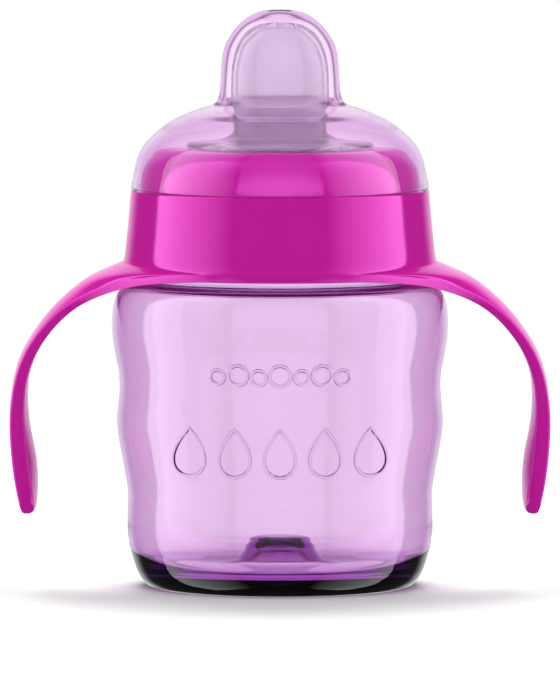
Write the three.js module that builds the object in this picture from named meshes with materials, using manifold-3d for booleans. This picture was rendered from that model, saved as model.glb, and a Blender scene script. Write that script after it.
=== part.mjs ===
// Sippy cup: a waisted drinking cup, a screw collar moulded in one with two handles, a soft oval
// spout, a two-piece drip valve inside the spout, and a clear snap-on travel cap.
// Millimetres, +Z up. The origin is on the cup's axis, in the plane that the cup stands on.
// The handles lie along X, and the wide side of the spout faces front, -Y.

import * as THREE from "three";
import { mergeVertices } from "three/addons/utils/BufferGeometryUtils.js";
import Module from "manifold-3d";

const wasm = await Module();
wasm.setup();

// ---------------------------------------------------------------- driving dimensions

const FACETS = 32; // around the cup, the collar and the cap
const SMALL_FACETS = 28; // around the valve
const GAP = 0.3; // clearance between neighbouring pieces
const SLIVER = 0.01; // edges that cutting and joining leave, shorter than this, are closed up

// Cup
const CUP_RADIUS = 36; // at the upper bulge
const WALL = 1.7;
const STANDING_RING = [24, 27]; // radii of the flat ring that the cup stands on
const FLOOR_Z = 4.1; // inside, beside the raised centre
const PUNT_Z = 10.1; // top of the raised centre, inside
const SHOULDER_Z = 64.7;
const NECK_RADIUS = 28.3;
const RIM_RADIUS = 27.4;
const RIM_Z = 89.3;

// Screw thread between cup and collar: one start, right-handed
const PITCH = 4;
const THREAD_TURNS = 1.25;
const THREAD_STEPS_PER_TURN = 24;
const THREAD_START_Z = 72.5; // middle of the cup's thread at its lower end
const RIDGE = { root: 1.9, crest: 0.9, height: 1.3 }; // axial widths and radial height
const RIDGE_SINK = 0.4; // how far a ridge is let into its wall
const COLLAR_THREAD_DROP = 1.75; // the collar's ridge bears on the underside of the cup's

// Collar
const COLLAR_FOOT_Z = 67.1;
const COLLAR_FOOT_RADIUS = 33.4;
const LEDGE_Z = 85; // the travel cap sits on this ledge
const LEDGE_RADIUS = 31.9;
const SEAT_RADIUS = 29.9; // of the stepped-in part inside the travel cap
const COLLAR_TOP_Z = 93.9;
const COLLAR_BORE = 30.2; // inside, at the thread
const COLLAR_THROAT = 28.1; // inside, above the thread
const SPOUT_HOLE_RADIUS = 18;
const TOP_PLATE = 1.8;

// Spout, valve and travel cap
const FLANGE_RADIUS = 27.6; // the spout's flange is clamped on the cup's rim
const LIP_RADIUS = 20.1; // the spout's lip lies on the collar
const SPOUT_TOP_Z = 121;
const DRINK_HOLES = { radius: 0.75, spacing: 3.2 };
const TOWER_TOP_Z = 101.3; // the valve's oval tower plugs into the spout
const INLETS = { count: 6, radius: 1.5, circle: 6 };
const VENTS = { radius: 0.7, circle: 13.5 };
const SLIT = { length: 6, width: 0.4 };
const CAP_TOP_Z = 123.6;

// ---------------------------------------------------------------- geometry helpers

/** A closed geometry as a manifold-3d solid. */
function solid(geometry) {
  const bare = geometry.index ? geometry.toNonIndexed() : geometry.clone();
  for (const name of Object.keys(bare.attributes)) {
    if (name !== "position") bare.deleteAttribute(name);
  }
  const merged = mergeVertices(bare, 1e-4);
  const made = new wasm.Manifold(
    new wasm.Mesh({
      numProp: 3,
      vertProperties: merged.attributes.position.array,
      triVerts: new Uint32Array(merged.index.array),
    }),
  );
  if (made.volume() < 0) throw new Error("a profile runs the wrong way round");
  return made;
}

/** A manifold-3d solid as a named mesh. */
function meshOf(name, manifold, material) {
  const { numProp, vertProperties, triVerts } = manifold.simplify(SLIVER).getMesh();
  const positions = new Float32Array((vertProperties.length / numProp) * 3);
  for (let i = 0; i < positions.length / 3; i++) {
    positions.set(vertProperties.subarray(i * numProp, i * numProp + 3), i * 3);
  }
  const geometry = new THREE.BufferGeometry();
  geometry.setAttribute("position", new THREE.BufferAttribute(positions, 3));
  geometry.setIndex(new THREE.BufferAttribute(triVerts, 1));
  geometry.computeVertexNormals();
  const mesh = new THREE.Mesh(geometry, material);
  mesh.name = name;
  return mesh;
}

/** Points along a smooth curve through [radius, z, squash] points, steps apart between each two. */
function smooth(points, steps = 2) {
  const curve = new THREE.CatmullRomCurve3(
    points.map(([r, z, squash = 1]) => new THREE.Vector3(r, z, squash)),
    false,
    "catmullrom",
    0.5,
  );
  return curve.getPoints((points.length - 1) * steps).map((p) => [p.x, p.y, p.z]);
}

/**
 * A profile of [radius, z, squash] points turned about the Z axis. Each ring is an oval as wide
 * in X as its radius, and squash times as deep in Y. A closed profile goes round its solid
 * with the solid on its left, in (radius, z).
 */
function turned(profile, facets = FACETS) {
  const closed = profile[0][0] > 0 || profile.at(-1)[0] > 0;
  const rings = closed ? [...profile, profile[0]] : profile;
  const lathe = new THREE.LatheGeometry(
    rings.map(([r, z]) => new THREE.Vector2(Math.max(r, 0), z)),
    facets,
  );
  lathe.rotateX(Math.PI / 2);
  const places = lathe.attributes.position;
  for (let i = 0; i < places.count; i++) {
    const squash = rings[i % rings.length][2] ?? 1;
    places.setY(i, places.getY(i) * squash);
  }
  return solid(lathe);
}

/** A closed skin over rings of points: each ring is a list of [x, y, z] of the same length. */
function loft(rings) {
  const count = rings[0].length;
  const middle = (ring) => [0, 1, 2].map((k) => ring.reduce((sum, p) => sum + p[k], 0) / count);
  const points = [...rings.flat(), middle(rings[0]), middle(rings.at(-1))];
  const first = points.length - 2;
  const last = points.length - 1;
  const faces = [];
  for (let j = 0; j < count; j++) {
    const next = (j + 1) % count;
    for (let i = 0; i < rings.length - 1; i++) {
      const [a, b] = [i * count + j, i * count + next];
      faces.push(a, b, a + count, b, b + count, a + count);
    }
    const end = (rings.length - 1) * count;
    faces.push(first, next, j, last, end + j, end + next);
  }
  const geometry = new THREE.BufferGeometry();
  geometry.setAttribute("position", new THREE.Float32BufferAttribute(points.flat(), 3));
  geometry.setIndex(faces);
  return solid(geometry);
}

/** A round bar along Z. */
function bar(radius, x, y, lowZ, highZ, facets = 12) {
  const geometry = new THREE.CylinderGeometry(radius, radius, highZ - lowZ, facets);
  geometry.rotateX(Math.PI / 2);
  geometry.translate(x, y, (lowZ + highZ) / 2);
  return solid(geometry);
}

/** A box from its lowest to its highest corner. */
function block(low, high) {
  const size = high.map((value, k) => value - low[k]);
  const geometry = new THREE.BoxGeometry(...size);
  geometry.translate(...low.map((value, k) => value + size[k] / 2));
  return solid(geometry);
}

/**
 * A helical ridge of one start. direction is 1 for a ridge that stands out of a wall of the given
 * radius, and -1 for one that stands into it. Both ends fade into the wall.
 */
function ridge(wallRadius, direction, startZ) {
  const rings = [];
  const steps = Math.round(THREAD_TURNS * THREAD_STEPS_PER_TURN);
  for (let i = 0; i <= steps; i++) {
    const angle = (i / THREAD_STEPS_PER_TURN) * 2 * Math.PI;
    const fade = Math.min(1, Math.min(i, steps - i) / 4);
    const z = startZ + (i / THREAD_STEPS_PER_TURN) * PITCH;
    const foot = wallRadius - direction * RIDGE_SINK;
    const crest = wallRadius + direction * (RIDGE.height * fade - RIDGE_SINK * (1 - fade) * 0.5);
    const section = [
      [foot, z - RIDGE.root / 2],
      [crest, z - RIDGE.crest / 2],
      [crest, z + RIDGE.crest / 2],
      [foot, z + RIDGE.root / 2],
    ];
    if (direction > 0) section.reverse();
    rings.push(section.map(([r, h]) => [r * Math.cos(angle), r * Math.sin(angle), h]));
  }
  return loft(rings);
}

// ---------------------------------------------------------------- cup

function makeCup() {
  const outside = [
    [0, 7.7],
    [4, 7.3],
    [7.6, 4.2],
    [10.8, 2],
    [20.5, 1.5],
    [STANDING_RING[0], 0],
    [STANDING_RING[1], 0],
    ...smooth([[29, 1.3], [31.3, 5.2], [32.4, 9.6], [32.9, 13.7]]),
    ...smooth([[32.6, 19.5], [33.8, 26.5], [35, 34.9], [34.6, 43.3], [35.5, 50]]),
    ...smooth([[CUP_RADIUS, 55.6], [35.3, 60.4], [32.8, 63.8]]),
    [30.2, SHOULDER_Z],
    [NECK_RADIUS, SHOULDER_Z + 0.5],
    [NECK_RADIUS, 84],
    [RIM_RADIUS, 86],
    [RIM_RADIUS, RIM_Z],
  ];
  const inside = [
    [RIM_RADIUS - WALL, RIM_Z],
    [RIM_RADIUS - WALL, 83],
    [NECK_RADIUS - WALL, 80],
    [NECK_RADIUS - WALL, SHOULDER_Z - 1],
    [31.4, 62.4],
    [33.8, 59.6],
    [CUP_RADIUS - WALL, 55.6],
    [33.8, 50],
    [32.9, 43.3],
    [33.3, 34.9],
    [32.1, 26.5],
    [30.9, 19.5],
    [31.2, 13.7],
    [30.4, 9.2],
    [28.2, 6],
    [24.6, 4.3],
    [12.6, FLOOR_Z],
    [8.9, 6],
    [6.6, 9.1],
    [4.4, PUNT_Z],
    [0, PUNT_Z],
  ];
  return turned([...outside, ...inside]).add(ridge(NECK_RADIUS, 1, THREAD_START_Z));
}

// ---------------------------------------------------------------- collar with handles

// Stations along a handle, from the collar's middle to the tip. at is the middle of the band in X
// and Z, width its half width in Y, rim the thickness of its edge, and outer and inner how far
// its two broad sides are crowned.
const HANDLE_STATIONS = [
  { at: [0, 68], width: 33.5, rim: 1.8, outer: 0, inner: 0 },
  { at: [8, 67.95], width: 33, rim: 1.8, outer: 0, inner: 0 },
  { at: [16, 67.8], width: 30.6, rim: 1.8, outer: 0, inner: 0 },
  { at: [22, 67.6], width: 27.2, rim: 1.8, outer: 0.2, inner: 0 },
  { at: [28, 67.1], width: 22.3, rim: 1.8, outer: 0.7, inner: 0 },
  { at: [33, 66.2], width: 17.6, rim: 1.7, outer: 1.2, inner: 0 },
  { at: [38, 64.5], width: 13.6, rim: 1.7, outer: 1.3, inner: 0 },
  { at: [43, 61.9], width: 10.6, rim: 1.8, outer: 0.9, inner: 0 },
  { at: [47.6, 58.2], width: 9, rim: 1.9, outer: 0.7, inner: 0 },
  { at: [51.4, 53.6], width: 8.2, rim: 2.1, outer: 0.6, inner: 0.1 },
  { at: [54.4, 48.2], width: 8, rim: 2.3, outer: 0.5, inner: 0.2 },
  { at: [56.1, 41.4], width: 8.3, rim: 2.6, outer: 0.4, inner: 0.4 },
  { at: [56.3, 34], width: 9.2, rim: 3, outer: 0.3, inner: 0.9 },
  { at: [55.6, 27], width: 10.3, rim: 3.2, outer: 0.2, inner: 1.5 },
  { at: [54.9, 22], width: 10.4, rim: 3.2, outer: 0.2, inner: 1.4 },
  { at: [54.3, 18.4], width: 8.8, rim: 3.1, outer: 0.1, inner: 0.9 },
  { at: [54, 16.4], width: 6.2, rim: 2.6, outer: 0.1, inner: 0.6 },
  { at: [53.9, 15.5], width: 2.6, rim: 1.3, outer: 0, inner: 0.2 },
];
const STEPS_PER_STATION = 1;
const EDGE_STEPS = 3; // around each rounded edge of the band
const FACE_STEPS = 4; // across each broad side

/** The section of the band: [offset in Y, height] points about its middle, right-handed. */
function bandSection({ width, rim, outer, inner }) {
  const half = rim / 2;
  const flat = Math.max(width - half, 0.1);
  const points = [];
  for (const side of [1, -1]) {
    const crown = side > 0 ? outer : inner;
    for (let i = 0; i < EDGE_STEPS; i++) {
      const angle = Math.PI * (i / EDGE_STEPS - 0.5);
      points.push([side * (flat + half * Math.cos(angle)), side * half * Math.sin(angle)]);
    }
    for (let i = 0; i < FACE_STEPS; i++) {
      const across = 1 - (2 * i) / FACE_STEPS;
      points.push([side * flat * across, side * (half + crown * (1 - across * across))]);
    }
  }
  return points;
}

/** The band on one side: side is 1 towards +X, and -1 towards -X. */
function handleBand(side) {
  const through = (pick) =>
    new THREE.CatmullRomCurve3(
      HANDLE_STATIONS.map((s) => new THREE.Vector3(...pick(s))),
      false,
      "catmullrom",
      0.5,
    );
  const line = through((s) => [s.at[0], 0, s.at[1]]);
  const sizes = through((s) => [s.width, s.rim, 0]);
  const crowns = through((s) => [s.outer, s.inner, 0]);
  const steps = (HANDLE_STATIONS.length - 1) * STEPS_PER_STATION;
  const rings = [];
  for (let i = 0; i <= steps; i++) {
    const at = line.getPoint(i / steps);
    const along = line.getTangent(i / steps);
    const { x: width, y: rim } = sizes.getPoint(i / steps);
    const { x: outer, y: inner } = crowns.getPoint(i / steps);
    const ring = bandSection({ width, rim, outer, inner }).map(([y, height]) => [
      side * (at.x - along.z * height),
      y,
      at.z + along.x * height,
    ]);
    rings.push(side > 0 ? ring : ring.reverse());
  }
  return loft(rings);
}

/** The concave fillet from the collar's wall to the top of the handles, within their outline. */
function handleFillet() {
  const ring = turned([
    [32, 67.6],
    [34, 67.2],
    [36.5, 66.3],
    [39.5, 64.6],
    [39.5, 65.6],
    [38.2, 66.5],
    [36.6, 67.6],
    [34.8, 69],
    [33.7, 70.3],
    [33.2, 72],
    [32, 72],
  ]);
  const inset = 0.9; // from the long edges of the band
  const [lowZ, highZ] = [64, 74];
  const half = HANDLE_STATIONS.filter((s) => s.at[0] < 40).map((s) => [s.at[0], s.width - inset]);
  const back = half.map(([x, y]) => new THREE.Vector2(x, y));
  const left = half.slice(1).map(([x, y]) => new THREE.Vector2(-x, y));
  const loop = [...left.toReversed(), ...back];
  const front = loop.toReversed().map(({ x, y }) => new THREE.Vector2(x, -y));
  const outline = new THREE.Shape([...loop, ...front]);
  const prism = new THREE.ExtrudeGeometry(outline, {
    depth: highZ - lowZ,
    bevelEnabled: false,
  });
  prism.translate(0, 0, lowZ);
  return ring.intersect(solid(prism));
}

function makeCollar() {
  const body = turned([
    [0, COLLAR_FOOT_Z],
    [COLLAR_FOOT_RADIUS - 0.5, COLLAR_FOOT_Z],
    [COLLAR_FOOT_RADIUS, COLLAR_FOOT_Z + 0.5],
    [33.2, 71.6],
    [32.8, 74.2],
    [32.4, 79.3],
    [32, LEDGE_Z - 0.4],
    [LEDGE_RADIUS - 0.3, LEDGE_Z],
    [SEAT_RADIUS, LEDGE_Z],
    [SEAT_RADIUS, 87.6],
    ...smooth([[29.3, 90.2], [27.6, 92.5], [25.4, 93.6]]),
    [23.8, COLLAR_TOP_Z],
    [0, COLLAR_TOP_Z],
  ]);
  const below = COLLAR_FOOT_Z - 9; // lower than the root of either handle
  const above = COLLAR_TOP_Z + 6;
  const hollow = turned([
    [0, below],
    [COLLAR_BORE, below],
    [COLLAR_BORE, 83.8],
    [COLLAR_THROAT, 86],
    [COLLAR_THROAT, COLLAR_TOP_Z - TOP_PLATE - 1.2],
    [COLLAR_THROAT - 1.2, COLLAR_TOP_Z - TOP_PLATE],
    [SPOUT_HOLE_RADIUS, COLLAR_TOP_Z - TOP_PLATE],
    [SPOUT_HOLE_RADIUS, above],
    [0, above],
  ]);
  return body
    .add(handleBand(1))
    .add(handleBand(-1))
    .add(handleFillet())
    .subtract(hollow)
    .add(ridge(COLLAR_BORE, -1, THREAD_START_Z - COLLAR_THREAD_DROP));
}

// ---------------------------------------------------------------- spout

function makeSpout() {
  const groove = SPOUT_HOLE_RADIUS - GAP;
  const flangeZ = [RIM_Z + GAP, COLLAR_TOP_Z - TOP_PLATE - GAP];
  const lipZ = COLLAR_TOP_Z + GAP;
  const shell = turned([
    [23.8, 87],
    [25, 87],
    [25.3, flangeZ[0]],
    [FLANGE_RADIUS, flangeZ[0]],
    [FLANGE_RADIUS, flangeZ[1] - 0.9],
    [FLANGE_RADIUS - 1, flangeZ[1]],
    [groove, flangeZ[1]],
    [groove, lipZ],
    [LIP_RADIUS, lipZ],
    [LIP_RADIUS - 0.3, lipZ + 0.8],
    [18.4, 95.3],
    [14.6, 95.7, 0.9],
    [12.1, 96.3, 0.77],
    [10.9, 97.6, 0.69],
    [10.6, 99, 0.66],
    [10.5, 106, 0.64],
    [10.3, 110.9, 0.62],
    [9.6, 114.9, 0.6],
    [8.1, 117.8, 0.58],
    [5.2, 120.2, 0.57],
    [2.4, SPOUT_TOP_Z - 0.1, 0.57],
    [0, SPOUT_TOP_Z],
    [0, 119.4],
    [3.9, 118.8, 0.5],
    [6.7, 116.6, 0.5],
    [8.1, 113.8, 0.52],
    [8.7, 110.4, 0.54],
    [8.85, TOWER_TOP_Z + 0.8, 0.57],
    [9.4, TOWER_TOP_Z + GAP, 0.6],
    [9.4, 94.6, 0.6],
    [10, 93.9, 0.66],
    [15.8, 93.6],
    [16.4, 93],
    [16.4, flangeZ[0]],
    [23.8, flangeZ[0]],
  ]);
  return [-1, 0, 1].reduce((made, place) => {
    const x = place * DRINK_HOLES.spacing;
    return made.subtract(bar(DRINK_HOLES.radius, x, 0, SPOUT_TOP_Z - 4, SPOUT_TOP_Z + 1, 10));
  }, shell);
}

// ---------------------------------------------------------------- valve

function makeValveHousing() {
  const shell = turned(
    [
      [0, 86],
      [11, 86],
      [11, 91.4],
      [16, 91.4],
      [16, 93.2],
      [9.7, 93.2, 0.62],
      [9.05, 93.9, 0.585],
      [9.05, TOWER_TOP_Z - 0.4, 0.585],
      [8.8, TOWER_TOP_Z, 0.57],
      [7.9, TOWER_TOP_Z, 0.52],
      [7.9, 93.6, 0.52],
      [9.7, 91.2, 1],
      [9.7, 87.1],
      [0, 87.1],
    ],
    SMALL_FACETS,
  );
  let made = shell;
  for (let i = 0; i < INLETS.count; i++) {
    const angle = (i / INLETS.count) * 2 * Math.PI;
    const [x, y] = [Math.cos(angle) * INLETS.circle, Math.sin(angle) * INLETS.circle];
    made = made.subtract(bar(INLETS.radius, x, y, 85, 88));
  }
  for (const side of [-1, 1]) {
    made = made.subtract(bar(VENTS.radius, 0, side * VENTS.circle, 90, 95, 8));
  }
  return made;
}

function makeValveMembrane() {
  const cup = turned(
    [
      [0, 84.6],
      [11.3, 84.6],
      [12.3, 85.4],
      [12.4, 90.7],
      [12.1, 91],
      [11.4, 91],
      [11.4, 86.1],
      [10.8, 85.6],
      [0, 85.6],
    ],
    SMALL_FACETS,
  );
  const tab = block([12, -2.6, 87.6], [15.6, 2.6, 88.8]);
  const { length, width } = SLIT;
  return cup
    .add(tab)
    .subtract(block([-length / 2, -width / 2, 84], [length / 2, width / 2, 86]))
    .subtract(block([-width / 2, -length / 2, 84], [width / 2, length / 2, 86]));
}

// ---------------------------------------------------------------- travel cap

function makeTravelCap() {
  const seatZ = LEDGE_Z + GAP;
  return turned([
    [30.7, seatZ],
    [LEDGE_RADIUS, seatZ],
    [31.4, 88.4],
    [30.8, 90.9],
    [29.1, 94.6],
    [26.5, 97.4],
    [23, 99.9],
    [19.6, 101.4],
    [16.8, 102.4, 0.95],
    [14.6, 103.2, 0.83],
    [13.4, 104.1, 0.72],
    [12.95, 105.6, 0.68],
    [12.7, 108, 0.67],
    [12.4, 112.8, 0.66],
    [11.6, 116, 0.66],
    [10.2, 118.5, 0.66],
    [7.6, 121.4, 0.66],
    [4.4, 123.1, 0.66],
    [1.6, CAP_TOP_Z, 0.66],
    [0, CAP_TOP_Z],
    [0, 122.5],
    [3.9, 121.9, 0.62],
    [6.8, 120.5, 0.62],
    [9.2, 117.9, 0.62],
    [10.5, 115.6, 0.62],
    [11.25, 112.5, 0.62],
    [11.6, 107.5, 0.63],
    [11.8, 105, 0.65],
    [12.4, 103.2, 0.7],
    [14.3, 102, 0.82],
    [18.6, 100.4],
    [22.3, 98.8],
    [25.6, 96.4],
    [28, 93.9],
    [29.5, 90.7],
    [30.2, 88.2],
    [30.6, 86],
  ]);
}

// ---------------------------------------------------------------- materials and assembly

function plastic(color, opacity, roughness = 0.15) {
  const see = opacity < 1;
  return new THREE.MeshStandardMaterial({
    color,
    roughness,
    metalness: 0,
    opacity,
    transparent: see,
  });
}

const clearLilac = plastic(0xe2c0ee, 0.45);
const magenta = plastic(0xd42aac, 1, 0.18);
const softLilac = plastic(0xd8c2e4, 0.7, 0.35);
const clearWhite = plastic(0xece6f2, 0.8, 0.3);
const whiteSilicone = plastic(0xf4eef6, 0.9, 0.5);

const sippyCup = new THREE.Group();
sippyCup.add(
  meshOf("cup_body", makeCup(), clearLilac),
  meshOf("handle_collar", makeCollar(), magenta),
  meshOf("spout", makeSpout(), softLilac),
  meshOf("valve_housing", makeValveHousing(), clearWhite),
  meshOf("valve_membrane", makeValveMembrane(), whiteSilicone),
  meshOf("travel_cap", makeTravelCap(), clearLilac),
);

export default sippyCup;
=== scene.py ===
"""A sippy cup: clear lilac cup, magenta screw collar with two handles, soft spout with its valve, and
a clear travel cap. Metres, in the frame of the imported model, except where a name ends in _MM."""

import math

import bmesh
import bpy
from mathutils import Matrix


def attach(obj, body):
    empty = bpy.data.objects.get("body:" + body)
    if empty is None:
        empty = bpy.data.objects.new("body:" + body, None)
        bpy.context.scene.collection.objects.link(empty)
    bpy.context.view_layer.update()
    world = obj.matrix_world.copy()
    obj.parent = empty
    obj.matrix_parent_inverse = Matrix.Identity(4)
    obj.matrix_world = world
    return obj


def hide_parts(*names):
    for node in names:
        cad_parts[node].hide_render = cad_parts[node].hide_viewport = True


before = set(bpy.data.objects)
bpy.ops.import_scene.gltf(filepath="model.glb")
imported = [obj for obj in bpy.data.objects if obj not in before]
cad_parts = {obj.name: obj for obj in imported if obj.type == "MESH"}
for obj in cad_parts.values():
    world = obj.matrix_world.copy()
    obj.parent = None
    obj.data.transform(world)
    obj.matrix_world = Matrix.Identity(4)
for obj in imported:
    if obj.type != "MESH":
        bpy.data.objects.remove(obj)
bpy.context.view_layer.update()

MM = 0.001
WELD = 1e-6  # points closer than this are one
TURN_STEPS = 128  # around the cup, cap and spout
VALVE_STEPS = 96
SHARP = math.radians(32)  # an edge that bends more than this is rounded, and is crisp in the shading
ROUND_OVER_MM = 0.25


# ---------------------------------------------------------------- tools


def put_down():
    """Leave edit mode with nothing selected."""
    if bpy.context.object and bpy.context.object.mode != "OBJECT":
        bpy.ops.object.mode_set(mode="OBJECT")
    bpy.ops.object.select_all(action="DESELECT")


def take(piece):
    """Select one piece alone and make it active."""
    put_down()
    piece.select_set(True)
    bpy.context.view_layer.objects.active = piece


def edit(piece):
    """Take one piece and go into edit mode."""
    take(piece)
    bpy.ops.object.mode_set(mode="EDIT")


def select_all():
    bpy.ops.mesh.select_all(action="SELECT")


def weld():
    """In edit mode, merge the points that lie on each other."""
    select_all()
    bpy.ops.mesh.remove_doubles(threshold=WELD)


def face_outward():
    select_all()
    bpy.ops.mesh.normals_make_consistent(inside=False)


def pick(piece, kind, wanted):
    """In edit mode, select only the vertices, edges or faces for which wanted is true."""
    bpy.ops.mesh.select_mode(type={"verts": "VERT", "edges": "EDGE", "faces": "FACE"}[kind])
    mesh = bmesh.from_edit_mesh(piece.data)
    for part in [*mesh.verts, *mesh.edges, *mesh.faces]:
        part.select = False
    for part in getattr(mesh, kind):
        if wanted(part):
            part.select_set(True)
    mesh.select_flush_mode()
    bmesh.update_edit_mesh(piece.data)


def with_squash(points):
    """Profile points as (r, z, squash), where squash is 1 for a round ring."""
    return [(*p, 1) if len(p) == 2 else p for p in points]


def smooth(points, steps=4):
    """Points along a Catmull-Rom curve through points of (r, z) or (r, z, squash)."""
    points = with_squash(points)
    ends = [points[0], *points, points[-1]]
    out = []
    for a, b, c, d in zip(ends, ends[1:], ends[2:], ends[3:]):
        for i in range(steps):
            t = i / steps
            out.append(
                tuple(
                    0.5 * (2 * q + (r - p) * t + (2 * p - 5 * q + 4 * r - s) * t * t
                           + (3 * q - p - 3 * r + s) * t * t * t)
                    for p, q, r, s in zip(a, b, c, d)
                )
            )
    return [*out, tuple(points[-1])]


def apply_modifier(piece, kind, **settings):
    take(piece)
    modifier = piece.modifiers.new(kind.lower(), kind)
    for key, value in settings.items():
        setattr(modifier, key, value)
    bpy.ops.object.modifier_apply(modifier=modifier.name)


def unite(piece, other):
    apply_modifier(piece, "BOOLEAN", object=other, operation="UNION", solver="EXACT")
    bpy.data.objects.remove(other)


def cut(piece, cutter):
    apply_modifier(piece, "BOOLEAN", object=cutter, operation="DIFFERENCE", solver="EXACT")
    bpy.data.objects.remove(cutter)


def cut_round(piece, radius, x, y, low, high):
    """A round hole along Z from low to high, in mm."""
    put_down()
    place = (x * MM, y * MM, (low + high) / 2 * MM)
    bpy.ops.mesh.primitive_cylinder_add(
        vertices=24, radius=radius * MM, depth=(high - low) * MM, location=place
    )
    cut(piece, bpy.context.object)


def box(low, high):
    """A block between two corners, in mm."""
    put_down()
    middle = [(a + b) / 2 * MM for a, b in zip(low, high)]
    bpy.ops.mesh.primitive_cube_add(size=MM, location=middle, scale=[b - a for a, b in zip(low, high)])
    bpy.ops.object.transform_apply(location=True, rotation=True, scale=True)
    return bpy.context.object


def shade(piece):
    take(piece)
    bpy.ops.object.shade_smooth_by_angle(angle=SHARP)


def point_at(place, name):
    """A new piece of one vertex, at place, in edit mode and selected."""
    put_down()
    bpy.ops.mesh.primitive_plane_add(size=MM, location=place)
    piece = bpy.context.object
    piece.name = name
    piece.data.name = name
    bpy.ops.object.transform_apply(location=True, rotation=True, scale=True)
    bpy.ops.object.mode_set(mode="EDIT")
    bpy.ops.mesh.select_mode(type="VERT")
    select_all()
    bpy.ops.mesh.merge(type="CENTER")
    return piece


def draw(path):
    """Extrude the selected vertex from the first place of path, in mm, to each of the others."""
    for start, end in zip(path, path[1:]):
        step = [(b - a) * MM for a, b in zip(start, end)]
        bpy.ops.mesh.extrude_region_move(TRANSFORM_OT_translate={"value": step})


def squash_rings(piece, profile):
    """Make ovals of the rings whose squash isn't 1: it is their depth over their width."""
    near = 2e-3  # mm
    mesh = bmesh.from_edit_mesh(piece.data)
    mesh.verts.ensure_lookup_table()
    places = [(v.index, math.hypot(v.co.x, v.co.y) / MM, v.co.z / MM) for v in mesh.verts]
    rings = []
    for r, z, squash in profile:
        if squash != 1:
            ring = {i for i, vr, vz in places if abs(vr - r) + abs(vz - z) < near}
            rings.append((ring, z, squash))
    for ring, z, squash in rings:
        pick(piece, "verts", lambda v: v.index in ring)
        bpy.ops.transform.resize(value=(1, squash, 1), center_override=(0, 0, z * MM))


def turn(name, profile, steps=TURN_STEPS):
    """A piece turned about the Z axis from a profile of (r, z) or (r, z, squash) in mm, with its sharp
    edges rounded. A profile that doesn't start and end on the axis is closed from its end to its start."""
    profile = with_squash(profile)
    path = [(r, 0, z) for r, z, _ in profile]
    if profile[0][0] > 0 or profile[-1][0] > 0:
        path.append(path[0])
    piece = point_at([c * MM for c in path[0]], name)
    draw(path)
    select_all()
    bpy.ops.mesh.spin(steps=steps, angle=math.tau, center=(0, 0, 0), axis=(0, 0, 1))
    weld()
    squash_rings(piece, profile)
    face_outward()
    bpy.ops.mesh.select_all(action="DESELECT")
    bpy.ops.mesh.select_mode(type="EDGE")
    bpy.ops.mesh.edges_select_sharp(sharpness=SHARP)
    bpy.ops.mesh.bevel(offset=ROUND_OVER_MM * MM, segments=3, affect="EDGES", clamp_overlap=True)
    put_down()
    shade(piece)
    return piece


# ---------------------------------------------------------------- cup

WALL_MM = 1.1

# The cup's profile in (radius, height): up the outside from the raised centre under its foot, over the
# lip of the neck, and down the inside to the middle of its floor.
CUP_FOOT_MM = [
    *smooth([(0, 7.7), (4, 7.3), (7.6, 4.2), (10.8, 2), (16, 1.55), (23.2, 1.4)]),
    (24, 0),
    (27.2, 0),
    *smooth([(28.4, 0.35), (29.7, 1.6), (30.8, 3.6), (31.6, 6), (32.35, 8.8)]),
]
CUP_SIDE_MM = smooth(
    [
        (32.8, 12.2), (32.75, 16.5), (32.65, 20), (33.3, 24.3), (34.2, 29.2), (34.9, 33.6), (34.95, 37.2),
        (34.5, 41.8), (34.6, 45.6), (35.3, 49.7), (35.87, 53.6), (35.97, 57), (35.7, 60.2), (34.9, 62.8),
        (33.3, 64.7), (31.2, 65.7), (29.3, 66), (28.3, 66.6), (28.3, 68.2),
    ]
)
CUP_NECK_MM = [(28.3, 84), (27.4, 86), (27.4, 89.3), (25.7, 89.3), (25.7, 83), (26.7, 80)]
CUP_FLOOR_MM = smooth(
    [
        (31.62, 12.2), (31.2, 9.2), (30.4, 6.8), (29, 5), (26.8, 4.1), (23.5, 3.7), (17, 3.7), (12.6, 3.8),
        (9.6, 5), (7.8, 7.5), (6.3, 9.4), (4.4, 10.05), (2, 10.1), (0, 10.1),
    ]
)


def within(path, wall):
    """The path at the given depth inside a wall whose outside is path, in the other direction."""
    out = []
    for i, (r, z, _) in enumerate(path):
        (r0, z0, _), (r1, z1, _) = path[max(i - 1, 0)], path[min(i + 1, len(path) - 1)]
        length = math.dist((r0, z0), (r1, z1))
        out.append((r - wall * (z1 - z0) / length, z + wall * (r1 - r0) / length))
    return out[::-1]


def make_cup():
    inside = within(CUP_SIDE_MM, WALL_MM)[:-2]  # the floor's edge takes the place of the last two
    return turn("cup", [*CUP_FOOT_MM, *CUP_SIDE_MM, *CUP_NECK_MM, *inside, *CUP_FLOOR_MM])


# ---------------------------------------------------------------- raised pattern on the cup

LINE_MM = 0.4  # the pattern's lines are this far out of the wall, and twice as wide
BUBBLES_MM = [
    (-13.2, 47.2, 1.5), (-8.9, 47.6, 2.1), (-4.5, 47.1, 1.6), (0, 47.5, 2.2),
    (4.6, 47.2, 1.5), (8.9, 47.6, 2.1), (13.2, 47.1, 1.6),
]  # x, z and radius
DROP_COUNT = 5
DROP_SPACING_MM = 9.6
DROP_HEIGHT_MM = 29.2
DROP_RADIUS_MM = 3.3
DROP_TIP_MM = 3.6
IN_FRONT_MM = 45  # the lines are drawn this far before the axis, and pushed back on to the wall


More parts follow.
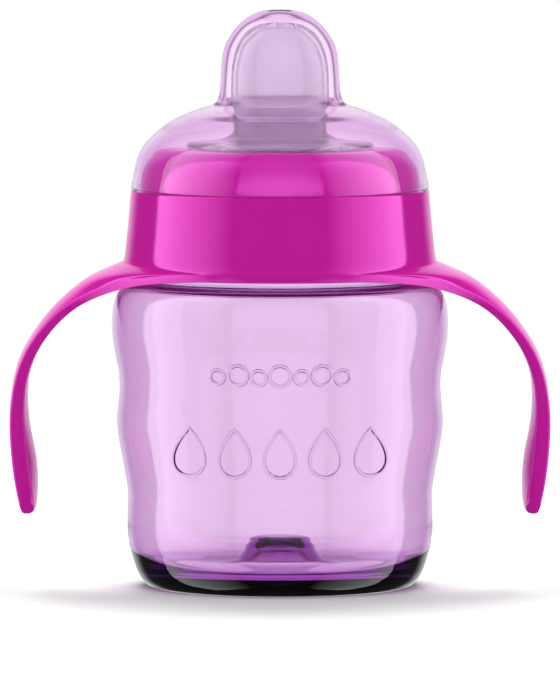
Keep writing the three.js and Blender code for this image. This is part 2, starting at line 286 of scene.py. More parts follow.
def raised_ring(target, x, z, radius, tip=0.0):
    """A raised line round a bubble or, with its top drawn up by tip, round a drop."""
    put_down()
    place = (x * MM, -IN_FRONT_MM * MM, z * MM)
    bpy.ops.mesh.primitive_circle_add(
        vertices=48, radius=radius * MM, location=place, rotation=(math.pi / 2, 0, 0)
    )
    bpy.ops.object.transform_apply(location=True, rotation=True, scale=True)
    ring = bpy.context.object
    if tip:
        edit(ring)
        pick(ring, "verts", lambda v: v.co.z > (z + radius * 0.999) * MM)
        bpy.ops.transform.translate(
            value=(0, 0, tip * MM),
            use_proportional_edit=True,
            proportional_edit_falloff="SHARP",
            proportional_size=radius * 1.9 * MM,
        )
    apply_modifier(
        ring, "SHRINKWRAP", target=target, wrap_method="PROJECT", use_project_y=True,
        use_project_x=False, use_project_z=False, use_negative_direction=False, use_positive_direction=True,
    )
    bpy.ops.object.convert(target="CURVE")
    ring.data.bevel_depth = LINE_MM * MM
    ring.data.bevel_resolution = 3
    bpy.ops.object.convert(target="MESH")
    edit(ring)
    weld()
    face_outward()
    put_down()
    return ring


# ---------------------------------------------------------------- travel cap

# The cap's profile: up the outside of its dome and nose, and down the inside.
CAP_OUTSIDE_MM = [
    (31.9, 85.3),
    *smooth(
        [
            (31.85, 85.9), (31.4, 88.3), (30.8, 90.9), (29.85, 93.5), (27.95, 96), (25, 98.6),
            (22.6, 100.15), (19.8, 101.4), (17.2, 102.35, 0.95), (15.1, 103, 0.86), (13.75, 103.8, 0.75),
            (13.05, 105.2, 0.69), (12.75, 107.6, 0.67), (12.6, 110.2, 0.665), (12.4, 112.8, 0.66),
            (11.95, 115.3, 0.66), (11, 117.4, 0.66), (9.7, 119.3, 0.66), (7.9, 121.2, 0.66),
            (5.6, 122.75, 0.67), (3, 123.48, 0.7), (1.2, 123.58, 0.85), (0, 123.58),
        ]
    ),
]
CAP_INSIDE_MM = [
    *smooth(
        [
            (0, 122.5), (1.5, 122.45, 0.8), (3.9, 121.95, 0.65), (6.8, 120.5, 0.63), (8.8, 118.5, 0.63),
            (10.3, 116, 0.63), (11.05, 113.5, 0.63), (11.4, 110.2, 0.63), (11.6, 107.5, 0.64),
            (11.85, 105, 0.66), (12.5, 103.3, 0.71), (14, 102.3, 0.82), (16.4, 101.35, 0.93),
            (19.3, 100.2), (22.1, 98.95), (25, 97), (27.4, 94.7), (28.8, 92.6), (29.7, 90.2),
            (30.3, 88), (30.65, 86.4),
        ]
    ),
    (30.7, 85.3),
]


def make_cap():
    return turn("cap", [*CAP_OUTSIDE_MM, *CAP_INSIDE_MM])


# ---------------------------------------------------------------- spout

# The spout's profile: out under its flange, up the groove that holds the collar's lip, up the bill, and
# down its channel to the recess that holds the valve.
SPOUT_MM = [
    (23.8, 87),
    (25, 87),
    (25.3, 89.6),
    (27.55, 89.6),
    (27.55, 90.9),
    (26.6, 91.8),
    (17.7, 91.8),
    (17.7, 94.2),
    (20.05, 94.2),
    *smooth(
        [
            (19.95, 94.85), (19.2, 95.2), (17, 95.45), (14.4, 95.75, 0.9), (12.3, 96.25, 0.78),
            (11.2, 97, 0.71), (10.2, 98.2, 0.68), (9.95, 99.3, 0.67), (10.05, 100.6, 0.66),
            (10.45, 101.9, 0.65), (10.5, 104, 0.645), (10.45, 107, 0.64), (10.3, 110.9, 0.62),
            (9.6, 114.7, 0.6), (8.2, 117.6, 0.58), (6.4, 119.4, 0.57), (4.3, 120.5, 0.57),
            (2, 120.95, 0.6), (0, 121),
        ]
    ),
    *smooth(
        [
            (0, 119.4), (2, 119.3, 0.5), (3.9, 118.8, 0.5), (6.7, 116.6, 0.5), (8.1, 113.8, 0.52),
            (8.7, 110.4, 0.54), (8.85, 106, 0.56), (8.85, 102.2, 0.57),
        ]
    ),
    (9.3, 101.6, 0.6),
    (9.3, 94.6, 0.6),
    (10, 93.9, 0.66),
    (15.8, 93.6),
    (16.4, 93),
    (16.4, 89.6),
    (23.8, 89.6),
]
DRINK_HOLE_MM = 0.75  # radius
DRINK_HOLE_SPACING_MM = 3.2
DRINK_HOLE_SPAN_MM = (117, 123)  # through the bill's top


def make_spout():
    spout = turn("spout_bill", SPOUT_MM)
    for place in (-1, 0, 1):
        cut_round(spout, DRINK_HOLE_MM, place * DRINK_HOLE_SPACING_MM, 0, *DRINK_HOLE_SPAN_MM)
    shade(spout)
    return spout


# ---------------------------------------------------------------- valve

# The plug's profile: out under its skirt, up to its flange, up the oval tower and down the inside.
HOUSING_MM = [
    (0, 86), (11, 86), (11, 91.4), (16, 91.4), (16, 93.2), (10, 93.2, 0.66), (9.3, 93.6, 0.61),
    (9.0, 94.3, 0.58), (9.0, 100.9, 0.58), (8.6, 101.3, 0.56), (7.9, 101.3, 0.52), (7.9, 93.6, 0.52),
    (9.7, 91.2), (9.7, 87.1), (0, 87.1),
]
FLOW_HOLES = 6
FLOW_HOLE_MM = 1.5  # radius
FLOW_CIRCLE_MM = 6  # the holes are this far from the axis
FLOW_HOLE_SPAN_MM = (85, 88)
AIR_HOLE_MM = 0.7
AIR_HOLE_OUT_MM = 13.5
AIR_HOLE_SPAN_MM = (90, 95)
MEMBRANE_MM = [
    (0, 84.6), (11.3, 84.6), (12.3, 85.4), (12.4, 90.7), (12.1, 91), (11.4, 91), (11.4, 86.1),
    (10.8, 85.6), (0, 85.6),
]
TAB_MM = ((12.1, -2.6, 87.6), (15.6, 2.6, 88.8))
TAB_ROUND_MM = 0.5
SLITS_MM = [((-3, -0.2, 84), (3, 0.2, 86)), ((-0.2, -3, 84), (0.2, 3, 86))]


def make_housing():
    housing = turn("valve_plug", HOUSING_MM, steps=VALVE_STEPS)
    for i in range(FLOW_HOLES):
        angle = math.tau * i / FLOW_HOLES
        x, y = FLOW_CIRCLE_MM * math.cos(angle), FLOW_CIRCLE_MM * math.sin(angle)
        cut_round(housing, FLOW_HOLE_MM, x, y, *FLOW_HOLE_SPAN_MM)
    for y in (-AIR_HOLE_OUT_MM, AIR_HOLE_OUT_MM):
        cut_round(housing, AIR_HOLE_MM, 0, y, *AIR_HOLE_SPAN_MM)
    shade(housing)
    return housing


def make_membrane():
    """The soft cap under the plug, with a tab to pull it by and a cross slit."""
    membrane = turn("valve_cap", MEMBRANE_MM, steps=VALVE_STEPS)
    tab = box(*TAB_MM)
    apply_modifier(tab, "BEVEL", width=TAB_ROUND_MM * MM, segments=3)
    unite(membrane, tab)
    for corners in SLITS_MM:
        cut(membrane, box(*corners))
    shade(membrane)
    return membrane


# ---------------------------------------------------------------- collar and handles

COLLAR_STEPS = 24  # in the half of the collar that is modelled, before it is mirrored
COLLAR_BORE_MM = 30.2
NECK_MM = 28.3

# The collar's profile: from its lower edge up the outside, over the lip on its top, and down the bore.
COLLAR_MM = [
    (33.4, 67.0), (34.1, 68.75), (33.75, 69.5), (33.35, 70.7), (33.2, 72.4), (32.85, 75.5), (32.45, 79.5),
    (32.15, 83), (32.03, 84.7), (31.95, 85), (31.7, 85), (30.6, 85), (30.05, 85.05), (29.95, 85.7),
    (29.95, 87.6), (29.4, 90.2), (27.8, 92.6), (25.6, 93.75), (23, 93.9), (18.5, 93.9), (18.05, 93.85),
    (18, 93.4), (18, 92.5), (18.05, 92.1), (18.6, 92.1), (26.6, 92.1), (28.1, 91), (28.1, 86.2),
    (30.2, 83.9), (30.2, 68), (30.3, 67.1), (31, 66.95), (32.8, 66.9),
]
ROOT_ANGLE = math.radians(67.5)  # a handle grows from this much of the collar's edge, on both sides of X
ROOT_FACES_MM = dict(reach=33.3, low=67.2, high=68.6)  # the faces there: beyond reach, from low to high
ROOT_MM = (33.9, 67.9)  # the middle of those faces in (x, z)
ROOT_RADIUS_MM = 34
ROOT_RISE_MM = 0.75  # how far the edge's upper and lower lines are moved where the handle leaves it
ROOT_DROOP_MM = -1.6
ROOT_SPREAD_MM = 0.25  # and how far outward
ROOT_TUCK_MM = -0.2

# A handle, loop by loop away from the collar, in mm. middle and edge are the places in (x, z) of the
# band's middle line and of its two long edges, and width is half its width in Y. rim is how thick the
# band is at its edges, and in its middle its outer and inner sides bulge by outer and inner.
HANDLE_LOOPS = [
    dict(middle=(34.9, 67.2), edge=(15.6, 67.9), width=30.5, rim=1.75, outer=1.0, inner=1.1),
    dict(middle=(36.3, 66.4), edge=(20.2, 67.75), width=28, rim=1.75, outer=1.15, inner=0.8),
    dict(middle=(37.8, 65.6), edge=(25.4, 67.35), width=24.2, rim=1.75, outer=1.3, inner=0.5),
    dict(middle=(39.5, 64.7), edge=(30.2, 66.55), width=19.9, rim=1.7, outer=1.4, inner=0.2),
    dict(middle=(41.4, 63.5), edge=(34.9, 65.15), width=15.9, rim=1.65, outer=1.4, inner=0.05),
    dict(middle=(43.6, 61.95), edge=(39.5, 63.45), width=12.7, rim=1.65, outer=1.2, inner=0),
    dict(middle=(46.1, 59.9), edge=(43.9, 61.2), width=10.5, rim=1.75, outer=1.05, inner=0),
    dict(middle=(48.7, 57.3), edge=(47.8, 57.95), width=9.2, rim=1.9, outer=0.85, inner=0),
    dict(middle=(51.2, 53.9), edge=(51.2, 53.9), width=8.5, rim=2.05, outer=0.75, inner=0),
    dict(middle=(53.6, 50), edge=(53.6, 50), width=8.1, rim=2.25, outer=0.7, inner=0.1),
    dict(middle=(55.3, 45.4), edge=(55.3, 45.4), width=8.05, rim=2.4, outer=0.6, inner=0.4),
    dict(middle=(56.12, 40.4), edge=(56.12, 40.4), width=8.35, rim=2.6, outer=0.45, inner=0.85),
    dict(middle=(56.3, 35.4), edge=(56.3, 35.4), width=9, rim=3, outer=0.35, inner=1.1),
    dict(middle=(55.9, 30.4), edge=(55.9, 30.4), width=9.8, rim=3.3, outer=0.3, inner=1.6),
    dict(middle=(55.45, 25.9), edge=(55.45, 25.9), width=10.35, rim=3.4, outer=0.2, inner=1.9),
    dict(middle=(54.85, 21.9), edge=(54.85, 21.9), width=10.2, rim=3.3, outer=0.2, inner=1.4),
    dict(middle=(54.35, 18.9), edge=(54.35, 18.9), width=9, rim=3.2, outer=0.15, inner=0.9),
    dict(middle=(54.05, 16.9), edge=(54.05, 16.9), width=7.1, rim=2.9, outer=0.1, inner=0.5),
    dict(middle=(53.9, 15.75), edge=(53.9, 15.75), width=4.9, rim=2.2, outer=0, inner=0.2),
]
RIM_CREASE = 0.05


def loop_place(loop, way, angle, above):
    """Where a point of a handle's loop goes: angle is its column's place on the collar's edge."""
    lean = (1 - math.cos(angle)) / (1 - math.cos(ROOT_ANGLE))
    across = math.sin(angle) / math.sin(ROOT_ANGLE)
    (mx, mz), (ex, ez) = loop["middle"], loop["edge"]
    bulge = loop["outer" if above else "inner"] * (1 - across * across)
    height = (1 if above else -1) * (loop["rim"] / 2 + bulge)
    x = mx + (ex - mx) * lean - way[1] * height
    z = mz + (ez - mz) * lean + way[0] * height
    return (x * MM, loop["width"] * across * MM, z * MM)


def grow_handle(collar):
    """Extrude the side of the collar's lower edge, loop by loop, into a handle."""

    def at_root(face):
        middle = face.calc_center_median()
        angle = math.atan2(middle.y, middle.x)
        reach = math.hypot(middle.x, middle.y) / MM
        level = ROOT_FACES_MM["low"] < middle.z / MM < ROOT_FACES_MM["high"]
        return level and reach > ROOT_FACES_MM["reach"] and abs(angle) < ROOT_ANGLE

    pick(collar, "faces", at_root)
    mesh = bmesh.from_edit_mesh(collar.data)
    column = {
        v.index: (math.atan2(v.co.y, v.co.x), v.co.z / MM > ROOT_MM[1]) for v in mesh.verts if v.select
    }
    first = dict(column)
    line = [ROOT_MM, *(loop["middle"] for loop in HANDLE_LOOPS)]
    for i, loop in enumerate(HANDLE_LOOPS):
        before, after = line[i], line[min(i + 2, len(line) - 1)]
        length = math.dist(before, after)
        way = ((after[0] - before[0]) / length, (after[1] - before[1]) / length)
        mesh = bmesh.from_edit_mesh(collar.data)
        from_place = {v.co.to_tuple(7): column[v.index] for v in mesh.verts if v.select}
        bpy.ops.mesh.extrude_region_move()
        mesh = bmesh.from_edit_mesh(collar.data)
        for v in mesh.verts:
            if v.select:
                column[v.index] = from_place[v.co.to_tuple(7)]
                v.co = loop_place(loop, way, *column[v.index])
        bmesh.update_edit_mesh(collar.data)
    spread_root(collar, first)
    edges = {i for i, (angle, _) in column.items() if abs(abs(angle) - ROOT_ANGLE) < 0.01}
    pick(collar, "edges", lambda e: e.verts[0].index in edges and e.verts[1].index in edges)
    bpy.ops.transform.edge_crease(value=RIM_CREASE)


def spread_root(collar, first):
    """Thicken the collar's edge where the handle leaves it, so that the two run together."""
    mesh = bmesh.from_edit_mesh(collar.data)
    mesh.verts.ensure_lookup_table()
    for index, (angle, above) in first.items():
        v = mesh.verts[index]
        share = 0.5 + 0.5 * math.cos(math.pi * angle / ROOT_ANGLE)
        v.co.z += (ROOT_RISE_MM if above else ROOT_DROOP_MM) * share * MM
        spread = 1 + (ROOT_SPREAD_MM if above else ROOT_TUCK_MM) * share / ROOT_RADIUS_MM
        v.co.x *= spread
        v.co.y *= spread
    bmesh.update_edit_mesh(collar.data)


# ---------------------------------------------------------------- screw thread

THREAD_PITCH_MM = 4
THREAD_TURNS = 1.25
RIDGE_OUT_MM = 1.3  # how far a ridge stands out of its wall, and how far it is sunk into it
RIDGE_SUNK_MM = 0.4
RIDGE_ROOT_MM = 0.95  # half its thickness in the wall and at its crest
RIDGE_CREST_MM = 0.45
RIDGE_RUN_OUT_MM = 1.5  # how far its two ends are pressed back, into the wall
CUP_RIDGE_MM = 72.5  # where each ridge starts
COLLAR_RIDGE_MM = 70.75


def ridge(name, wall, out, start):
    """A thread's helical ridge on a wall of radius wall: out is 1 on its outside and -1 on its inside."""
    sunk, crest = wall - out * RIDGE_SUNK_MM, wall + out * RIDGE_OUT_MM
    corners = [
        (sunk, start - RIDGE_ROOT_MM),
        (crest, start - RIDGE_CREST_MM),
        (crest, start + RIDGE_CREST_MM),
        (sunk, start + RIDGE_ROOT_MM),
    ]
    piece = point_at([sunk * MM, 0, corners[0][1] * MM], name)
    draw([(r, 0, z) for r, z in [*corners, corners[0]]])
    weld()
    apply_modifier(
        piece,
        "SCREW",
        angle=math.tau * THREAD_TURNS,
        screw_offset=THREAD_PITCH_MM * THREAD_TURNS * MM,
        steps=100,
        render_steps=100,
        use_merge_vertices=False,
        use_smooth_shade=False,
    )
    edit(piece)
    ends = [start * MM, (start + THREAD_PITCH_MM * THREAD_TURNS) * MM]
    turns = [0, math.tau * THREAD_TURNS]
    for z, angle in zip(ends, turns):
        here = (math.cos(angle), math.sin(angle))

        def at_end(v):
            """At the crest, in this direction and near this end's height."""
            reach = math.hypot(v.co.x, v.co.y)
            along = (v.co.x * here[0] + v.co.y * here[1]) / reach
            return along > 0.9999 and abs(v.co.z - z) < 0.6 * MM and abs(reach / MM - crest) < 0.05

        pick(piece, "verts", at_end)
        push = -out * RIDGE_RUN_OUT_MM * MM
        bpy.ops.transform.translate(value=(push * here[0], push * here[1], 0))
    select_all()
    bpy.ops.mesh.fill_holes(sides=0)
    face_outward()
    put_down()
    return piece


def make_collar():
    collar = point_at([0, -COLLAR_MM[0][0] * MM, COLLAR_MM[0][1] * MM], "collar_and_handles")
    draw([(0, -r, z) for r, z in [*COLLAR_MM, COLLAR_MM[0]]])
    weld()
    select_all()
    bpy.ops.mesh.spin(steps=COLLAR_STEPS, angle=-math.pi, center=(0, 0, 0), axis=(0, 0, 1))
    weld()
    grow_handle(collar)
    apply_modifier(collar, "MIRROR", use_axis=(True, False, False), use_clip=True, merge_threshold=1e-5)
    edit(collar)
    face_outward()
    apply_modifier(collar, "SUBSURF", levels=2, render_levels=2)
    unite(collar, ridge("collar_thread", COLLAR_BORE_MM, -1, COLLAR_RIDGE_MM))
    shade(collar)
    return collar


cup = make_cup()
cap = make_cap()
spout = make_spout()
housing = make_housing()
membrane = make_membrane()
collar = make_collar()
lines = [raised_ring(cup, x, z, radius) for x, z, radius in BUBBLES_MM]
for i in range(DROP_COUNT):
    x = (i - (DROP_COUNT - 1) / 2) * DROP_SPACING_MM
    lines.append(raised_ring(cup, x, DROP_HEIGHT_MM, DROP_RADIUS_MM, DROP_TIP_MM))
for line in lines:
    unite(cup, line)
unite(cup, ridge("cup_thread", NECK_MM, 1, CUP_RIDGE_MM))
shade(cup)

# ---------------------------------------------------------------- materials


def node(tree, kind, **values):
    """A shader node with plain values on its inputs or, where it has no such input, its own settings."""
    made = tree.nodes.new(kind)
    for key, value in values.items():
        name = key.replace("_", " ").title().replace("Ior", "IOR")
        if name in made.inputs:
            made.inputs[name].default_value = value
        else:
            setattr(made, key, value)
    return made


def empty_material(name):
    made = bpy.data.materials.new(name)
    made.use_nodes = True
    tree = made.node_tree
    tree.nodes.clear()
    return made, tree, tree.nodes.new("ShaderNodeOutputMaterial")


def new_material(name):
    made, tree, out = empty_material(name)
    shader = tree.nodes.new("ShaderNodeBsdfPrincipled")
    tree.links.new(shader.outputs["BSDF"], out.inputs["Surface"])
    return made, tree, shader, out


def moulding_group():
    """The skin of moulded plastic: slow unevenness in its surface, faint handling marks and a fine grain."""
    group = bpy.data.node_groups.new("moulded_skin", "ShaderNodeTree")
    face = group.interface
    for name, kind, value in (
        ("Colour", "NodeSocketColor", (1, 1, 1, 1)),
        ("Colour Drift", "NodeSocketFloat", 0.05),
        ("Gloss", "NodeSocketFloat", 0.1),
        ("Handling", "NodeSocketFloat", 0.05),
        ("Wave Height", "NodeSocketFloat", 0.02),
        ("Grain Height", "NodeSocketFloat", 0.01),
    ):
        socket = face.new_socket(name, in_out="INPUT", socket_type=kind)
        socket.default_value = value
    face.new_socket("Colour", in_out="OUTPUT", socket_type="NodeSocketColor")
    face.new_socket("Roughness", in_out="OUTPUT", socket_type="NodeSocketFloat")
    face.new_socket("Normal", in_out="OUTPUT", socket_type="NodeSocketVector")
    link = group.links.new
    given = group.nodes.new("NodeGroupInput")
    out = group.nodes.new("NodeGroupOutput")
    where = group.nodes.new("ShaderNodeTexCoord")
    drift = node(group, "ShaderNodeTexNoise", scale=45.0, detail=2.0)
    smear = node(group, "ShaderNodeTexNoise", scale=160.0, detail=5.0, roughness=0.65, distortion=0.6)
    wave = node(group, "ShaderNodeTexNoise", scale=60.0, detail=1.0)
    grain = node(group, "ShaderNodeTexNoise", scale=2600.0, detail=2.0)
    for texture in (drift, smear, wave, grain):
        link(where.outputs["Object"], texture.inputs["Vector"])
    # colour
    darker = node(group, "ShaderNodeHueSaturation")
    amount = node(group, "ShaderNodeMath", operation="MULTIPLY_ADD")
    centred = node(group, "ShaderNodeMath", operation="SUBTRACT")
    centred.inputs[1].default_value = 0.5
    link(drift.outputs["Fac"], centred.inputs[0])
    link(centred.outputs[0], amount.inputs[0])
    link(given.outputs["Colour Drift"], amount.inputs[1])
    amount.inputs[2].default_value = 1.0
    link(amount.outputs[0], darker.inputs["Value"])
    link(given.outputs["Colour"], darker.inputs["Color"])
    link(darker.outputs["Color"], out.inputs["Colour"])
    # roughness
    marks = node(group, "ShaderNodeMapRange")
    marks.inputs["From Min"].default_value = 0.5
    marks.inputs["From Max"].default_value = 0.75
    link(smear.outputs["Fac"], marks.inputs["Value"])
    rough = node(group, "ShaderNodeMath", operation="MULTIPLY_ADD")
    link(marks.outputs["Result"], rough.inputs[0])
    link(given.outputs["Handling"], rough.inputs[1])
    link(given.outputs["Gloss"], rough.inputs[2])
    link(rough.outputs[0], out.inputs["Roughness"])
    # surface
    fine = node(group, "ShaderNodeBump", distance=0.00002)
    slow = node(group, "ShaderNodeBump", distance=0.0004)
    link(grain.outputs["Fac"], fine.inputs["Height"])
    link(given.outputs["Grain Height"], fine.inputs["Strength"])
    link(wave.outputs["Fac"], slow.inputs["Height"])
    link(given.outputs["Wave Height"], slow.inputs["Strength"])
    link(fine.outputs["Normal"], slow.inputs["Normal"])
    link(slow.outputs["Normal"], out.inputs["Normal"])
    return group


SKIN = moulding_group()


def moulding(drift, gloss, handling, wave, grain):
    """What the skin of one plastic is given."""
    return {
        "Colour Drift": drift,
        "Gloss": gloss,
        "Handling": handling,
        "Wave Height": wave,
        "Grain Height": grain,
    }


def plastic(name, colour, skin_values, **settings):
    """A moulded plastic. skin_values come from moulding, and settings are the shader's own plain values."""
    made, tree, shader, out = new_material(name)
    skin = tree.nodes.new("ShaderNodeGroup")
    skin.node_tree = SKIN
    skin.inputs["Colour"].default_value = (*colour, 1)
    for key, value in skin_values.items():
        skin.inputs[key].default_value = value
    tree.links.new(skin.outputs["Colour"], shader.inputs["Base Color"])
    tree.links.new(skin.outputs["Roughness"], shader.inputs["Roughness"])
    tree.links.new(skin.outputs["Normal"], shader.inputs["Normal"])
    for key, value in settings.items():
        shader.inputs[key.replace("_", " ")].default_value = value
    return made, tree, out


def clear_plastic(name, colour, density):
    """A clear plastic, lilac by how much of it the light passes."""
    made, tree, out = plastic(name, colour, CLEAR_SKIN, Transmission_Weight=1.0, IOR=PLASTIC_IOR)
    volume = tree.nodes.new("ShaderNodeVolumeAbsorption")
    volume.inputs["Color"].default_value = (*LILAC, 1)
    volume.inputs["Density"].default_value = density
    tree.links.new(volume.outputs["Volume"], out.inputs["Volume"])
    return made


CLEAR_SKIN = moulding(drift=0.03, gloss=0.004, handling=0.01, wave=0.012, grain=0.0)
LILAC = (0.69, 0.2, 0.763)
PLASTIC_IOR = 1.49
SILICONE_IOR = 1.41

clear_cup = clear_plastic("clear_lilac_cup", (0.93, 0.97, 0.92), density=430)
clear_cap = clear_plastic("clear_lilac_cap", (0.98, 0.965, 0.98), density=240)
magenta, *_ = plastic(
    "magenta_plastic",
    (0.5, 0.008, 0.29),
    moulding(drift=0.06, gloss=0.11, handling=0.05, wave=0.04, grain=0.02),
    IOR=2.0,
    Specular_IOR_Level=1.0,
    Specular_Tint=(1, 0.2, 0.85, 1),
)
silicone, *_ = plastic(
    "clear_silicone",
    (0.88, 0.885, 0.89),
    moulding(drift=0.05, gloss=0.03, handling=0.04, wave=0.01, grain=0.03),
    Transmission_Weight=0.8,
    IOR=SILICONE_IOR,
)
housing_plastic, *_ = plastic(
    "milky_plastic",
    (0.93, 0.74, 0.96),
    moulding(drift=0.04, gloss=0.1, handling=0.1, wave=0.02, grain=0.05),
    Transmission_Weight=0.25,
    IOR=PLASTIC_IOR,
)
membrane_silicone, *_ = plastic(
    "milky_silicone",
    (0.86, 0.8, 0.9),
    moulding(drift=0.04, gloss=0.42, handling=0.1, wave=0.04, grain=0.1),
    Transmission_Weight=0.3,
    IOR=SILICONE_IOR,
)

for piece, material, body, cad_node, slot in (
    (cup, clear_cup, "cup", "cup_body", "cup_plastic"),
    (collar, magenta, "collar", "handle_collar", "collar_plastic"),
    (spout, silicone, "spout", "spout", "spout_silicone"),
    (housing, housing_plastic, "valve", "valve_housing", "valve_plastic"),
    (membrane, membrane_silicone, "membrane", "valve_membrane", "membrane_silicone"),
    (cap, clear_cap, "cap", "travel_cap", "cap_plastic"),
):
    piece.data.materials.clear()
    piece.data.materials.append(material)
    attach(piece, body)
    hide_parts(cad_node)


# ---------------------------------------------------------------- studio

FLOOR_RADIUS = 0.65
FLOOR_GREY = 0.6

put_down()
bpy.ops.mesh.primitive_circle_add(vertices=96, radius=FLOOR_RADIUS, fill_type="NGON", location=(0, 0, 0))
floor = bpy.context.object
floor.name = "floor"
pale_floor, _, shader, _ = new_material("pale_floor")
shader.inputs["Base Color"].default_value = (FLOOR_GREY, FLOOR_GREY, FLOOR_GREY, 1)
shader.inputs["Roughness"].default_value = 0.6
shader.inputs["Specular IOR Level"].default_value = 0.0
floor.data.materials.append(pale_floor)
floor.visible_glossy = False
floor.visible_transmission = False

world = bpy.data.worlds.new("studio")
bpy.context.scene.world = world
world.use_nodes = True
tree = world.node_tree
tree.nodes.clear()
out = tree.nodes.new("ShaderNodeOutputWorld")
path = tree.nodes.new("ShaderNodeLightPath")
where = tree.nodes.new("ShaderNodeTexCoord")
split = tree.nodes.new("ShaderNodeSeparateXYZ")
tree.links.new(where.outputs["Generated"], split.inputs[0])


def ramp(source, low, high, at_low, at_high):
    """A smooth step from at_low, where source is low or less, to at_high, where it is high or more."""
    made = tree.nodes.new("ShaderNodeMapRange")
    made.interpolation_type = "SMOOTHSTEP"
    for key, value in (("From Min", low), ("From Max", high), ("To Min", at_low), ("To Max", at_high)):
        made.inputs[key].default_value = value
    tree.links.new(source, made.inputs["Value"])
    return made.outputs["Result"]


def choose(share, first, second):
    """first where share is 0, and second where it is 1."""
    made = tree.nodes.new("ShaderNodeMix")
    for key, value in (("Factor", share), ("A", first), ("B", second)):
        if isinstance(value, float):
            made.inputs[key].default_value = value
        else:
            tree.links.new(value, made.inputs[key])
    return made.outputs["Result"]


# The room is plain white to the camera. In reflections it is dark all round but for the backdrop.
# Through clear plastic it is pale behind and before, and below, where the floor is.
in_gloss = ramp(split.outputs["Y"], low=0.75, high=0.96, at_low=0.06, at_high=0.9)
along = node(tree, "ShaderNodeMath", operation="ABSOLUTE")
tree.links.new(split.outputs["Y"], along.inputs[0])
level = ramp(along.outputs[0], low=0.6, high=0.98, at_low=0.4, at_high=1.32)
below = ramp(split.outputs["Z"], low=-0.35, high=-0.15, at_low=1.1, at_high=0.0)
through = node(tree, "ShaderNodeMath", operation="MAXIMUM")
tree.links.new(level, through.inputs[0])
tree.links.new(below, through.inputs[1])
seen = choose(path.outputs["Is Transmission Ray"], 1.0, through.outputs[0])
seen = choose(path.outputs["Is Reflection Ray"], seen, in_gloss)
# Light that a surface scatters gets its own level, and more of it where it comes in through plastic.
scattered = ramp(path.outputs["Diffuse Depth"], low=0.5, high=0.6, at_low=0.0, at_high=1.0)
fill = choose(path.outputs["Is Transmission Ray"], 1.2, 3.5)
seen = choose(scattered, seen, fill)
room = node(tree, "ShaderNodeBackground", color=(1, 1, 1, 1))
tree.links.new(seen, room.inputs["Strength"])
tree.links.new(room.outputs[0], out.inputs["Surface"])


SOFTBOX_DISTANCE = 1.0
SOFTBOX_AZIMUTH = math.radians(71)  # from the front, on either side
SOFTBOX_WIDTH = 1.453
SOFTBOX_HEIGHT = 5
SOFTBOX_MIDDLE = 0.1
SOFTBOX_STRENGTH = 2.3
SOFTBOX_FADE = 0.85  # the share of its width over which it gets brighter


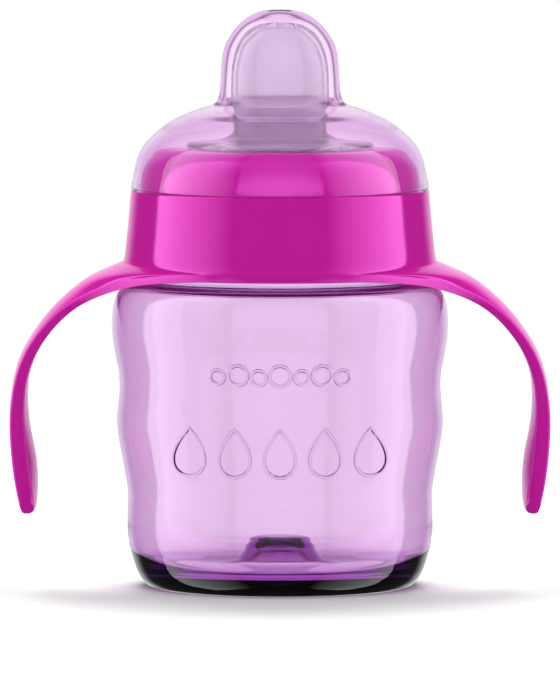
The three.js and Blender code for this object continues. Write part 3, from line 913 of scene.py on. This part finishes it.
def softbox(side):
    """A tall softbox beside the object, brightest at its far edge and fading to nothing at its near one."""
    made, tree, out = empty_material(f"softbox_light_{side}")
    glow = tree.nodes.new("ShaderNodeEmission")
    where = tree.nodes.new("ShaderNodeTexCoord")
    split = tree.nodes.new("ShaderNodeSeparateXYZ")
    fade = tree.nodes.new("ShaderNodeMapRange")
    near, far = (0.0, SOFTBOX_FADE) if side > 0 else (1.0, 1 - SOFTBOX_FADE)
    for key, value in (("From Min", near), ("From Max", far), ("To Min", 0.0), ("To Max", SOFTBOX_STRENGTH)):
        fade.inputs[key].default_value = value
    tree.links.new(where.outputs["UV"], split.inputs[0])
    tree.links.new(split.outputs["X"], fade.inputs["Value"])
    tree.links.new(fade.outputs["Result"], glow.inputs["Strength"])
    # it shows in reflections, and isn't there where it is only seen through clear plastic
    path = tree.nodes.new("ShaderNodeLightPath")
    reflected = node(tree, "ShaderNodeMath", operation="MINIMUM")
    reflected.inputs[1].default_value = 1
    absent = tree.nodes.new("ShaderNodeBsdfTransparent")
    mixed = tree.nodes.new("ShaderNodeMixShader")
    tree.links.new(path.outputs["Glossy Depth"], reflected.inputs[0])
    tree.links.new(reflected.outputs[0], mixed.inputs[0])
    tree.links.new(absent.outputs[0], mixed.inputs[1])
    tree.links.new(glow.outputs[0], mixed.inputs[2])
    tree.links.new(mixed.outputs[0], out.inputs["Surface"])
    angle = side * SOFTBOX_AZIMUTH
    place = (SOFTBOX_DISTANCE * math.sin(angle), -SOFTBOX_DISTANCE * math.cos(angle), SOFTBOX_MIDDLE)
    put_down()
    bpy.ops.mesh.primitive_plane_add(size=1, location=place, rotation=(math.pi / 2, 0, angle))
    panel = bpy.context.object
    panel.scale = (SOFTBOX_WIDTH, SOFTBOX_HEIGHT, 1)
    panel.name = f"softbox_{side}"
    panel.data.materials.append(made)
    panel.visible_camera = False
    panel.visible_diffuse = False
    panel.visible_shadow = False


for side in (-1, 1):
    softbox(side)

OVERHEAD_PLACE = (0, 0.64, 1.16)
OVERHEAD_TILT = math.radians(-28.9)  # so that it faces the foot of the object
OVERHEAD_SIZE = (1, 0.6)
OVERHEAD_WATTS = 26

put_down()
bpy.ops.object.light_add(type="AREA", location=OVERHEAD_PLACE, rotation=(OVERHEAD_TILT, 0, 0))
overhead = bpy.context.object
overhead.name = "overhead_softbox"
overhead.data.shape = "RECTANGLE"
overhead.data.size, overhead.data.size_y = OVERHEAD_SIZE
overhead.data.energy = OVERHEAD_WATTS
overhead.visible_transmission = False
overhead.visible_camera = False
overhead.visible_glossy = False

# ---------------------------------------------------------------- camera

CAMERA_DISTANCE = 2.2
CAMERA_RISE = math.radians(4.1)
AIM_Z = 0.0506
SENSOR_MM = 36
LENS_MM = 528
BOUNCES = 32  # so that light gets through the cap, spout and valve, one inside the other

back = CAMERA_DISTANCE * math.cos(CAMERA_RISE)
up = CAMERA_DISTANCE * math.sin(CAMERA_RISE)
put_down()
bpy.ops.object.camera_add(location=(0, -back, AIM_Z + up), rotation=(math.pi / 2 - CAMERA_RISE, 0, 0))
camera = bpy.context.object
camera.name = "camera"
camera.data.sensor_fit = "VERTICAL"
camera.data.sensor_height = SENSOR_MM
camera.data.lens = LENS_MM
camera.data.clip_end = 30
bpy.context.scene.camera = camera
bpy.context.scene.view_settings.view_transform = "Standard"
bpy.context.scene.cycles.max_bounces = BOUNCES
bpy.context.scene.cycles.transmission_bounces = BOUNCES
